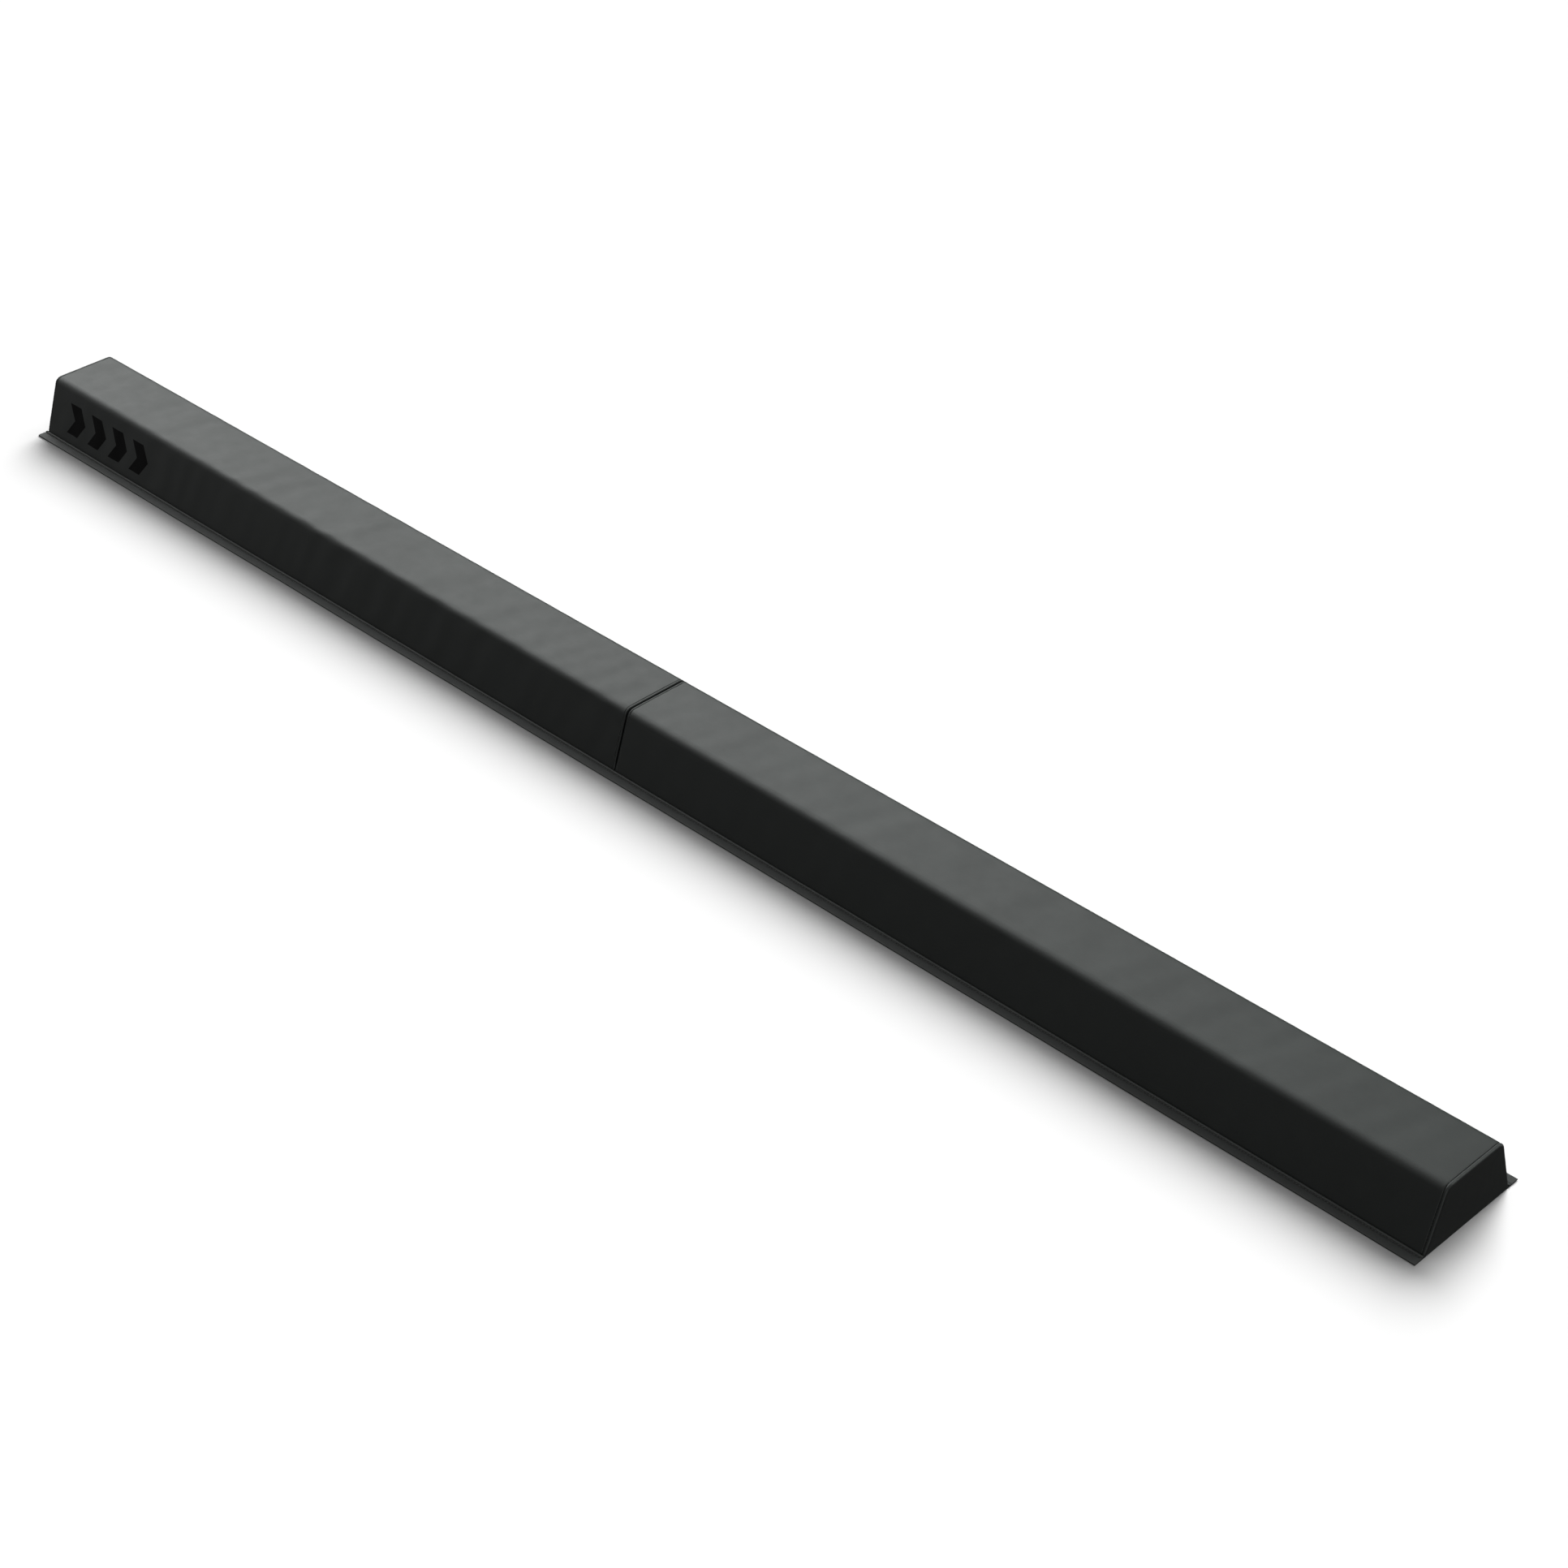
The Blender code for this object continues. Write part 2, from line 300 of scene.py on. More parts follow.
def with_streaks(relief, seed, x0, x1, size):
    """The relief with the long faint drag lines that cross the top at a slant. The
    simulated ripples hardly lean, so these are added in code."""
    wave = waves(seed, 10, 0.034, 0.072, 0.3)
    arc = TOP_EDGE_RADIUS * (math.pi / 2 - LEAN)
    top = 2 * (TOP_WIDTH / 2 - TOP_EDGE_RADIUS * (1 - SIN) / COS)
    arc_middle = (AROUND - top - arc) / 2

    def value(x, t):
        x, t = np.broadcast_arrays(np.asarray(x, float), np.asarray(t, float))
        fade = np.clip(np.minimum(x - x0, x1 - x) / 0.04, 0, 1)
        fade = size * fade * fade * (3 - 2 * fade)
        # Full on the top and gone on its edges, whose outline stays straight; weak and
        # nearly upright on the sides, and gone at their feet.
        facing_up = np.interp(t, SECTION_S, SECTION_N[:, 1])
        on_side = np.clip((0.55 - facing_up) / 0.2, 0, 1)
        on_side = on_side * np.clip(np.minimum(t, AROUND - t) / 0.02, 0, 1)
        across = wave(x + 0.35 * (t - AROUND / 2)) * facing_up**5
        upright = wave(x + 0.08 * (t - AROUND / 2)) * on_side * 0.5
        from_arc = np.abs(np.minimum(t, AROUND - t) - arc_middle)
        calm = 1 - 0.8 * np.exp(-((from_arc / 0.012) ** 2))
        return calm * relief(x, t) + fade * (across + upright)

    return value


# ---------------------------------------------------------------- covers
# How far a seam's dip reaches: on the wrap, on an outer end panel, on a hinge panel.
WRAP_DIP, OUTER_DIP, HINGE_DIP = 0.0009, 0.0026, 0.0012


def crease(t, reach):
    """How deep the cover dips at distance t from the middle of a seam."""
    t = np.abs(np.asarray(t, float))
    inside = np.clip(1 - t / reach, 0, 1)
    return 0.0012 * (1 - np.sqrt(np.maximum(1 - inside**2, 0))) + 0.00016 * np.exp(-t / 0.0022)


def crown(s):
    """The cover stands slightly proud of straight between its edges."""
    arc = TOP_EDGE_RADIUS * (math.pi / 2 - LEAN)
    top = 2 * (TOP_WIDTH / 2 - TOP_EDGE_RADIUS * (1 - SIN) / COS)
    side = (AROUND - top - 2 * arc) / 2
    s = np.asarray(s, float)
    near = np.minimum(s, AROUND - s)
    on_side = np.clip(near / side, 0, 1)
    on_top = np.clip((s - side - arc) / top, 0, 1)
    return 0.00035 * np.sin(math.pi * on_side) * (near < side) + 0.00030 * np.sin(
        math.pi * on_top
    ) * ((s > side + arc) & (s < side + arc + top))


def wrap(name, x_low, x_high, relief, seed):
    """The wrap's skin, from seam to seam, rolled down into both creases."""
    length = x_high - x_low
    near = np.array([0.04, 0.12, 0.25, 0.42, 0.62, 0.85, 1.2, 1.7, 2.5, 3.6, 5.2, 7.5, 10.5, 14.5]) * MM
    middle = np.linspace(20 * MM, length - 20 * MM, int(round((length - 40 * MM) / (6.2 * MM))) + 1)
    t = np.concatenate([near, middle, length - near[::-1]])
    x = x_low + t
    from_seam = np.minimum(t, length - t)
    s = SECTION_S
    pucker_low = waves(seed + 10, 8, 0.009, 0.035, 0.4)(s) * 0.00009
    pucker_high = waves(seed + 11, 8, 0.009, 0.035, 0.4)(s) * 0.00009
    lift = relief(x[:, None], s[None, :]) + crown(s)[None, :]
    lift = lift + pucker_low[None, :] * np.exp(-t / 0.007)[:, None]
    lift = lift + pucker_high[None, :] * np.exp(-(length - t) / 0.007)[:, None]
    depth = crease(from_seam, WRAP_DIP)[:, None] - lift
    skin = np.minimum(COVER, COVER * (0.2 + 0.8 * from_seam / 0.002))[:, None]
    outer = np.zeros((len(x), len(s), 3))
    outer[:, :, 0] = x[:, None]
    inner = outer.copy()
    outer[:, :, 1:] = SECTION_P[None] - depth[:, :, None] * SECTION_N[None]
    inner[:, :, 1:] = SECTION_P[None] - (depth + skin)[:, :, None] * SECTION_N[None]
    for grid in (outer, inner):
        grid[:, 0, 2] = grid[:, -1, 2] = BLOCK_FOOT
    return shell(name, outer, inner)


def end_cap(name, x_face, inwards, seed, radius, reach):
    """An end panel: from its seam over the rounded edge and across the face."""
    s = SECTION_S
    rows_x, rows_d, scale = [], [], []
    for t in (0.04, 0.12, 0.25, 0.42, 0.62, 0.85, 1.05):
        rows_x.append(SEAM_IN - t * MM)
        rows_d.append(float(crease(t * MM, reach)))
        scale.append(1.0)
    steps = 9
    for k in range(steps + 1):
        a = math.pi / 2 * k / steps
        rows_x.append(radius * (1 - math.sin(a)))
        rows_d.append(radius * (1 - math.cos(a)) + float(crease(SEAM_IN - rows_x[-1], reach)))
        scale.append(1.0)
    for f in (0.985, 0.96, 0.92, 0.86, 0.78, 0.69, 0.59, 0.48, 0.37, 0.26, 0.16, 0.08, 0.03, 0.0):
        rows_x.append(0.0)
        rows_d.append(radius)
        scale.append(f)
    rows_x, rows_d, scale = map(np.array, (rows_x, rows_d, scale))
    pucker = waves(seed, 8, 0.009, 0.035, 0.4)(s) * 0.00008
    ripple = waves(seed + 1, 5, 0.03, 0.12, 0.8)(s) * 0.00006
    at_end = abs(x_face) > 0.1
    bulge = 0.0004 if at_end else -0.0003
    # The outer panels' edges stand out over the base sheet's end; the hinge panels stand back.
    out_by = 0.0006 if at_end else -0.0008
    grids = []
    for skin in (0.0, COVER):
        grid = np.zeros((len(rows_x), len(s), 3))
        for i, (rx, rd, f) in enumerate(zip(rows_x, rows_d, scale)):
            edge = f == 1.0
            # The skin's thickness turns with the surface, from inwards on the lip to along X on the face.
            if edge and rx > radius:
                turn = 0.0
            elif edge:
                turn = math.asin(min(1.0, 1 - rx / radius))
            else:
                turn = math.pi / 2
            proud = END_PROUD * min(1.0, max(0.0, (SEAM_IN - rx) / 0.0012)) if edge else END_PROUD
            d = rd - proud + skin * math.cos(turn)
            d = d - pucker * math.exp(-abs(SEAM_IN - rx) / 0.004) * edge
            across = SECTION_P - np.atleast_1d(d)[:, None] * SECTION_N
            across[0, 1] = across[-1, 1] = BLOCK_FOOT
            flat = across.copy()
            flat[:, 0] *= f
            flat[:, 1] = BLOCK_FOOT + (across[:, 1] - BLOCK_FOOT) * f
            y, z = flat[:, 0], flat[:, 1]
            u = np.clip(np.abs(y) / np.maximum(side_y(z, radius), 1e-4), 0, 1)
            w = np.clip((z - BLOCK_FOOT) / (HEIGHT - radius - BLOCK_FOOT), 0, 1)
            out = bulge * (1 - u**2) * 4 * w * (1 - w)
            out = out + out_by * np.clip((z - BLOCK_FOOT) / 0.012, 0, 1) * math.sin(turn)
            if not edge:
                out = out + ripple * (f**6) * (1 - f) * 4
            grid[i, :, 0] = x_face + inwards * (rx + skin * math.sin(turn) - out)
            grid[i, :, 1:] = flat
        grids.append(grid)
    return shell(name, grids[0], grids[1])


# ---------------------------------------------------------------- stitches
def stitches(name, path, up, pitch, length, radius, seed, sides=6):
    """A row of separate stitches: short threads that rise out of the cover and dive back
    into it. path is a smooth line as points, and up the outward direction at each."""
    path, up = np.asarray(path, float), np.asarray(up, float)
    run = np.concatenate([[0], np.cumsum(np.linalg.norm(np.diff(path, axis=0), axis=1))])
    rng = np.random.default_rng(seed)
    count = int(run[-1] // pitch)
    first = (run[-1] - count * pitch) / 2 + pitch / 2
    verts, faces = [], []
    along = np.array([-0.5, -0.36, -0.18, 0.0, 0.18, 0.36, 0.5])
    rise = np.array([-1.25, -0.35, 0.10, 0.25, 0.10, -0.35, -1.25])
    thick = np.array([0.55, 0.92, 1.0, 1.0, 1.0, 0.92, 0.55])
    for k in range(count):
        middle = first + k * pitch
        size = length * (1 + rng.uniform(-0.04, 0.04))
        lean = rng.uniform(-0.05, 0.05) + 0.10
        base = len(verts)
        for a, b, c in zip(along, rise, thick):
            here = middle + a * size
            p = np.array([np.interp(here, run, path[:, q]) for q in range(3)])
            n = np.array([np.interp(here, run, up[:, q]) for q in range(3)])
            n /= np.linalg.norm(n)
            ahead = np.array([np.interp(here + 2e-4, run, path[:, q]) for q in range(3)])
            back = np.array([np.interp(here - 2e-4, run, path[:, q]) for q in range(3)])
            tangent = ahead - back
            tangent /= max(np.linalg.norm(tangent), 1e-12)
            side = np.cross(n, tangent)
            centre = p + n * (b * radius) + side * (a * size * lean)
            for q in range(sides):
                turn = 2 * math.pi * (q + 0.5) / sides
                verts.append(
                    centre + radius * c * (math.cos(turn) * side + math.sin(turn) * n)
                )
        rings = len(along)
        for r in range(rings - 1):
            for q in range(sides):
                w = (q + 1) % sides
                faces.append(
                    (
                        base + r * sides + q,
                        base + r * sides + w,
                        base + (r + 1) * sides + w,
                        base + (r + 1) * sides + q,
                    )
                )
        faces.append(tuple(base + q for q in range(sides)))
        faces.append(tuple(base + (rings - 1) * sides + q for q in reversed(range(sides))))
    return new_object(name, verts, faces, 60.0)


def seam_stitches(name, x, seed):
    depth = 0.00100
    pts = np.zeros((len(SECTION_S), 3))
    pts[:, 0] = x
    pts[:, 1:] = SECTION_P - depth * SECTION_N
    pts[0, 2] = pts[-1, 2] = BLOCK_FOOT + 0.0006
    up = np.zeros_like(pts)
    up[:, 1:] = SECTION_N
    return stitches(name, pts, up, 0.0036, 0.0031, 0.00027, seed)


# ---------------------------------------------------------------- base sheet and hems
def long_stations():
    """x along the whole beam, closely spaced where the sheet bends."""
    bend = np.linspace(-BEND, BEND, 13)
    left = np.linspace(X_LOW, -0.006, 121)
    right = np.linspace(0.006, X_HIGH, 121)
    return np.concatenate([left, [-0.004, -0.0025], bend, [0.0025, 0.004], right])


lift_near = waves(401, 8, 0.12, 0.9, 0.8)
lift_far = waves(402, 8, 0.12, 0.9, 0.8)
cut_near = waves(403, 10, 0.02, 0.5, 0.9)
cut_far = waves(404, 10, 0.02, 0.5, 0.9)


def flange_lift(x, y):
    """How far the flange's free edge stands off the floor."""
    lift, side = (lift_far, 1) if y > 0 else (lift_near, -1)
    out = np.clip((side * y - FOOT_WIDTH / 2) / (TOTAL_WIDTH - FOOT_WIDTH) * 2, 0, 1)
    calm = np.clip((np.abs(x) - 0.004) / 0.06, 0, 1)
    return out**1.5 * 0.00011 * (1.2 + lift(x)) * calm


def cut_edge(x, side):
    """The cut of the flange isn't perfectly straight."""
    return (cut_far if side > 0 else cut_near)(x) * 0.00013


def base_sheet(name):
    xs = long_stations()
    half = TOTAL_WIDTH / 2
    thick = 0.00092
    ys = np.concatenate([np.linspace(-half, -half + 0.018, 10), np.linspace(-0.065, 0.065, 9), np.linspace(half - 0.018, half, 10)])
    outline = [(y, 0.0) for y in ys]
    outline += [(half + 0.00005, 0.00018), (half + 0.00005, thick - 0.00018)]
    outline += [(y, thick) for y in ys[::-1]]
    outline += [(-half - 0.00005, thick - 0.00018), (-half - 0.00005, 0.00018)]
    loops = np.zeros((len(xs), len(outline), 3))
    for j, (y, z) in enumerate(outline):
        side = 1 if y > 0 else -1
        at_edge = np.clip((abs(y) - half + 0.004) / 0.004, 0, 1)
        loops[:, j, 0] = xs
        loops[:, j, 1] = y + side * (cut_edge(xs, side) - 0.00018) * at_edge
        loops[:, j, 2] = z + flange_lift(xs, y)
    return swept(name, loops)


def hem_strip(name, side):
    """The strip sewn over the flange: ridge, stitch groove, flat, rounded cut edge."""
    xs = long_stations()
    low, top = 0.00100, FLANGE_TOP
    foot = FOOT_WIDTH / 2
    inner = side_y(BLOCK_FOOT) + 0.00032
    outer = TOTAL_WIDTH / 2
    stitch = foot + 0.0045
    groove = 0.00085
    outline = [(inner, low), (outer - 0.0001, low), (outer, low + 0.00015), (outer, top - 0.0002)]
    outline += [(outer - 0.0002, top - 0.00002), (outer - 0.0008, top)]
    for k in range(1, 7):
        outline.append((outer - 0.0008 + (stitch + groove + 0.0006 - outer + 0.0008) * k / 7, top + 0.00003))
    # The strip droops towards its cut edge.
    outline = [
        (y, z - (0.00040 * max(0.0, (y - outer + 0.0065) / 0.0065) ** 2 if z > low + 0.0003 else 0.0))
        for y, z in outline
    ]
    outline += [(stitch + groove + 0.0004, top), (stitch + groove, top - 0.00014)]
    outline += [(stitch + groove * 0.55, top - 0.00052), (stitch, top - 0.00066)]
    outline += [(stitch - groove * 0.55, top - 0.00052), (stitch - groove, top - 0.00005)]
    middle, half = (inner + stitch - groove) / 2, (stitch - groove - inner) / 2
    for k in range(1, 10):
        a = math.pi * k / 10
        outline.append((middle + half * math.cos(a), top + 0.0011 * math.sin(a) ** 0.8))
    outline += [(inner, top - 0.0001)]
    ridge_swell = waves(410 + side, 10, 0.02, 0.2, 0.5)(xs)
    loops = np.zeros((len(xs), len(outline), 3))
    for j, (y, z) in enumerate(outline):
        at_edge = np.clip((y - outer + 0.004) / 0.004, 0, 1)
        swell = 1 + 0.05 * ridge_swell if (y < stitch - groove and z > top) else 1.0
        loops[:, j, 0] = xs
        loops[:, j, 1] = side * (y + (cut_edge(xs, side) - 0.00012) * at_edge)
        loops[:, j, 2] = top + (z - top) * swell + flange_lift(xs, side * y)
        if z <= low + 1e-6:
            loops[:, j, 2] = low + flange_lift(xs, side * y)
    return swept(name, loops)


def hem_stitches(name, side, seed):
    xs = np.linspace(X_LOW + 0.0015, X_HIGH - 0.0015, 801)
    y = side * (FOOT_WIDTH / 2 + 0.0045)
    pts = np.zeros((len(xs), 3))
    pts[:, 0], pts[:, 1] = xs, y
    pts[:, 2] = FLANGE_TOP - 0.00030 + flange_lift(xs, y)
    up = np.zeros_like(pts)
    up[:, 2] = 1.0
    return stitches(name, pts, up, 0.0040, 0.0034, 0.00030, seed)


# ---------------------------------------------------------------- printed mark
def printed_mark(name, relief):
    """A generic mark printed on the side: a row of four plain chevrons."""
    work_v, work_f = [], []
    ink = 0.00007
    high, low = AROUND - 0.0588, AROUND - 0.0150
    reach, wide, pitch = 0.0150, 0.0250, 0.0495
    cells_s, cells_x = 16, 6

    def place(x, s, depth):
        p = np.array([np.interp(s, SECTION_S, SECTION_P[:, q]) for q in range(2)])
        n = np.array([np.interp(s, SECTION_S, SECTION_N[:, q]) for q in range(2)])
        up = float(relief(x, s)) + float(crown(s))
        p = p + n * (up + depth)
        return (x, p[0], p[1])

    left = -1.1560
    for k in range(4):
        start = left + k * pitch
        base = len(work_v)
        rows, cols = cells_s + 1, cells_x + 1
        for depth in (0.00004 + ink, 0.00004):
            for i in range(rows):
                for j in range(cols):
                    a, b = i / cells_s, j / cells_x
                    x = start + reach * (1 - abs(2 * a - 1)) + wide * b
                    work_v.append(place(x, high + (low - high) * a, depth))
        layer = rows * cols
        for i in range(cells_s):
            for j in range(cells_x):
                p = base + i * cols + j
                q = (p, p + 1, p + cols + 1, p + cols)
                work_f.append(q)
                work_f.append(tuple(layer + w for w in reversed(q)))
        rim = [base + j for j in range(cols)]
        rim += [base + i * cols + cells_x for i in range(1, rows)]
        rim += [base + cells_s * cols + j for j in range(cells_x - 1, -1, -1)]
        rim += [base + i * cols for i in range(cells_s - 1, 0, -1)]
        for p, q in zip(rim, rim[1:] + rim[:1]):
            work_f.append((q, p, p + layer, q + layer))
    return new_object(name, work_v, work_f, 30.0)


# ---------------------------------------------------------------- materials
def node(tree, kind, **values):
    made = tree.nodes.new(kind)
    for key, value in values.items():
        if key in made.inputs:
            made.inputs[key].default_value = value
        else:
            setattr(made, key, value)
    return made


def fresh(name):
    material = bpy.data.materials.new(name)
    material.use_nodes = True
    tree = material.node_tree
    return material, tree, tree.nodes["Principled BSDF"]


def ramp(tree, low, high, a=0.0, b=1.0):
    made = tree.nodes.new("ShaderNodeValToRGB")
    made.color_ramp.elements[0].position, made.color_ramp.elements[0].color = a, (*low, 1)
    made.color_ramp.elements[1].position, made.color_ramp.elements[1].color = b, (*high, 1)
    return made


def leather(name, dark, light, rough, grain=1.0, cell=900.0, shine=0.5):
    """Black synthetic leather: fine pebbled grain, faint mottling, satin."""
    material, tree, shader = fresh(name)
    link = tree.links.new
    where = tree.nodes.new("ShaderNodeTexCoord")
    mottle = node(tree, "ShaderNodeTexNoise", Scale=9.0, Detail=5.0, Roughness=0.6)
    link(where.outputs["Object"], mottle.inputs["Vector"])
    colour = ramp(tree, dark, light, 0.30, 0.72)
    link(mottle.outputs["Fac"], colour.inputs["Fac"])
    link(colour.outputs["Color"], shader.inputs["Base Color"])
    scuff = node(tree, "ShaderNodeTexNoise", Scale=55.0, Detail=6.0, Roughness=0.65)
    link(where.outputs["Object"], scuff.inputs["Vector"])
    spread = node(tree, "ShaderNodeMapRange")
    spread.inputs["From Min"].default_value = 0.3
    spread.inputs["From Max"].default_value = 0.7
    spread.inputs["To Min"].default_value = rough - 0.03
    spread.inputs["To Max"].default_value = rough + 0.03
    link(scuff.outputs["Fac"], spread.inputs["Value"])
    link(spread.outputs["Result"], shader.inputs["Roughness"])
    warp = node(tree, "ShaderNodeTexNoise", Scale=260.0, Detail=2.0, Roughness=0.5)
    link(where.outputs["Object"], warp.inputs["Vector"])
    pull = node(tree, "ShaderNodeVectorMath", operation="MULTIPLY_ADD")
    pull.inputs[1].default_value = (0.0011, 0.0011, 0.0011)
    link(warp.outputs["Color"], pull.inputs[0])
    link(where.outputs["Object"], pull.inputs[2])
    pebble = node(tree, "ShaderNodeTexVoronoi", Scale=cell)
    pebble.feature = "SMOOTH_F1"
    pebble.inputs["Smoothness"].default_value = 0.6
    link(pull.outputs["Vector"], pebble.inputs["Vector"])
    crinkle = node(tree, "ShaderNodeTexNoise", Scale=380.0, Detail=4.0, Roughness=0.6)
    link(where.outputs["Object"], crinkle.inputs["Vector"])
    mix = node(tree, "ShaderNodeMath", operation="MULTIPLY_ADD")
    mix.inputs[1].default_value = 0.7
    link(crinkle.outputs["Fac"], mix.inputs[0])
    link(pebble.outputs["Distance"], mix.inputs[2])
    bump = node(tree, "ShaderNodeBump", Strength=0.30 * grain, Distance=0.00012)
    link(mix.outputs["Value"], bump.inputs["Height"])
    link(bump.outputs["Normal"], shader.inputs["Normal"])
    shader.inputs["Specular IOR Level"].default_value = shine
    shader.inputs["Specular Tint"].default_value = (0.970, 1.0, 0.985, 1)
    return material


def painted_edge_shade(material, at, amount):
    """Painted shade: the base colour turns darker from a given distance off the middle line out to both long
    edges of a sheet, standing in for the dark line along its edge at the floor.
    """
    tree = material.node_tree
    link = tree.links.new
    shader = tree.nodes["Principled BSDF"]
    where = tree.nodes.new("ShaderNodeTexCoord")
    split = tree.nodes.new("ShaderNodeSeparateXYZ")
    link(where.outputs["Object"], split.inputs["Vector"])
    side = node(tree, "ShaderNodeMath", operation="ABSOLUTE")
    link(split.outputs["Y"], side.inputs[0])
    edge = node(tree, "ShaderNodeMapRange")
    edge.inputs["From Min"].default_value = at - 0.0002
    edge.inputs["From Max"].default_value = at + 0.0002
    edge.inputs["To Min"].default_value = 1.0
    edge.inputs["To Max"].default_value = amount
    link(side.outputs["Value"], edge.inputs["Value"])
    was = shader.inputs["Base Color"].links[0].from_socket
    scale = node(tree, "ShaderNodeVectorMath", operation="SCALE")
    link(was, scale.inputs[0])
    link(edge.outputs["Result"], scale.inputs["Scale"])
    link(scale.outputs["Vector"], shader.inputs["Base Color"])


def thread_material(name, dark, light):
    material, tree, shader = fresh(name)
    link = tree.links.new
    where = tree.nodes.new("ShaderNodeTexCoord")
    twist = node(tree, "ShaderNodeTexWave", Scale=900.0, Distortion=2.0, Detail=2.0)
    twist.bands_direction = "DIAGONAL"
    link(where.outputs["Object"], twist.inputs["Vector"])
    colour = ramp(tree, dark, light, 0.2, 0.8)
    link(twist.outputs["Fac"], colour.inputs["Fac"])
    link(colour.outputs["Color"], shader.inputs["Base Color"])
    bump = node(tree, "ShaderNodeBump", Strength=0.5, Distance=0.00008)
    link(twist.outputs["Fac"], bump.inputs["Height"])
    link(bump.outputs["Normal"], shader.inputs["Normal"])
    shader.inputs["Roughness"].default_value = 0.6
    shader.inputs["Sheen Weight"].default_value = 0.15
    return material


def foam_material(name, dark, light):
    material, tree, shader = fresh(name)
    link = tree.links.new
    where = tree.nodes.new("ShaderNodeTexCoord")
    cells = node(tree, "ShaderNodeTexVoronoi", Scale=420.0)
    link(where.outputs["Object"], cells.inputs["Vector"])
    colour = ramp(tree, dark, light, 0.1, 0.6)
    link(cells.outputs["Distance"], colour.inputs["Fac"])
    link(colour.outputs["Color"], shader.inputs["Base Color"])
    bump = node(tree, "ShaderNodeBump", Strength=0.6, Distance=0.0004)
    link(cells.outputs["Distance"], bump.inputs["Height"])
    link(bump.outputs["Normal"], shader.inputs["Normal"])
    shader.inputs["Roughness"].default_value = 0.9
    return material


def ink_material(name):
    material, tree, shader = fresh(name)
    link = tree.links.new
    where = tree.nodes.new("ShaderNodeTexCoord")
    speck = node(tree, "ShaderNodeTexNoise", Scale=140.0, Detail=5.0, Roughness=0.7)
    link(where.outputs["Object"], speck.inputs["Vector"])
    colour = ramp(tree, (0.0008, 0.0008, 0.0008), (0.0018, 0.0018, 0.0018), 0.35, 0.7)
    link(speck.outputs["Fac"], colour.inputs["Fac"])
    link(colour.outputs["Color"], shader.inputs["Base Color"])
    bump = node(tree, "ShaderNodeBump", Strength=0.15, Distance=0.00006)
    link(speck.outputs["Fac"], bump.inputs["Height"])
    link(bump.outputs["Normal"], shader.inputs["Normal"])
    shader.inputs["Roughness"].default_value = 0.62
    shader.inputs["Specular IOR Level"].default_value = 0.10
    return material


COVER_MATERIAL = leather("cover_leather", (0.0080, 0.0098, 0.0090), (0.0104, 0.0127, 0.0117), 0.50)
SHEET_MATERIAL = leather("base_sheet_leather", (0.0150, 0.0168, 0.0159), (0.0200, 0.0222, 0.0212), 0.64, 1.4, 1100.0, 0.48)
# Painted shade on the base sheet and hem strips: darkened over the last 0.6 mm out to both long edges, for
# the dark line where they meet the floor.
painted_edge_shade(SHEET_MATERIAL, TOTAL_WIDTH / 2 - 0.0006, 0.15)
THREAD = thread_material("black_thread", (0.004, 0.004, 0.004), (0.014, 0.014, 0.014))
CORE_FOAM = foam_material("core_foam", (0.50, 0.52, 0.54), (0.72, 0.74, 0.76))
SOFT_FOAM = foam_material("soft_foam", (0.20, 0.30, 0.45), (0.34, 0.46, 0.62))
INK = ink_material("ink")


def wear(obj, material):
    obj.data.materials.clear()
    obj.data.materials.append(material)
    return obj


# ---------------------------------------------------------------- camera
def make_camera():
    data = bpy.data.cameras.new("camera")
    data.sensor_width = 36.0
    data.lens = 73.594
    data.clip_start, data.clip_end = 0.05, 200.0
    obj = bpy.data.objects.new("camera", data)
    back = Vector((0.57735, -0.57735, 0.57735))
    obj.location = (2.406835, -2.187459, 2.242103)
    obj.rotation_mode = "QUATERNION"
    obj.rotation_quaternion = (-back).to_track_quat("-Z", "Y")
    bpy.context.scene.collection.objects.link(obj)
    bpy.context.scene.camera = obj


def area_light(name, place, target, width, height, power, colour=(1, 1, 1)):
    data = bpy.data.lights.new(name, "AREA")
    data.shape = "RECTANGLE"
    data.size, data.size_y = width, height
    data.energy = power
    data.color = colour
    obj = bpy.data.objects.new(name, data)
    obj.location = place
    direction = Vector(target) - Vector(place)
    obj.rotation_mode = "QUATERNION"
    obj.rotation_quaternion = direction.to_track_quat("-Z", "Y")
    obj.visible_camera = False
    bpy.context.scene.collection.objects.link(obj)
    return obj


# Softboxes seen only as reflections: name, azimuth from +X, elevation, distance, width, height, watts.
CARDS = [
    ("far_left", 168, 22, 5.0, 2.6, 2.2, 36.0),
    ("back_left", 150, 30, 5.0, 2.6, 2.2, 30.0),
    ("back", 128, 34, 5.0, 2.6, 2.2, 42.0),
    ("left_high", 185, 50, 5.0, 3.0, 2.2, 68.0),
    ("overhead_left", 190, 70, 5.0, 3.0, 2.2, 10.0),
    ("back_high", 130, 68, 5.0, 3.0, 2.2, 23.0),
    ("front_low", 318, 3, 5.0, 2.0, 2.0, 28.0),
    ("end_back", 45, 35, 5.0, 2.4, 2.0, 48.0),
    ("front_left", 225, 35, 5.0, 2.4, 2.0, 11.0),
    ("front_left_low", 208, 0, 5.0, 2.0, 2.0, 2.2),
    ("end_low", 62, -12, 5.0, 2.0, 2.0, 12.0),
]


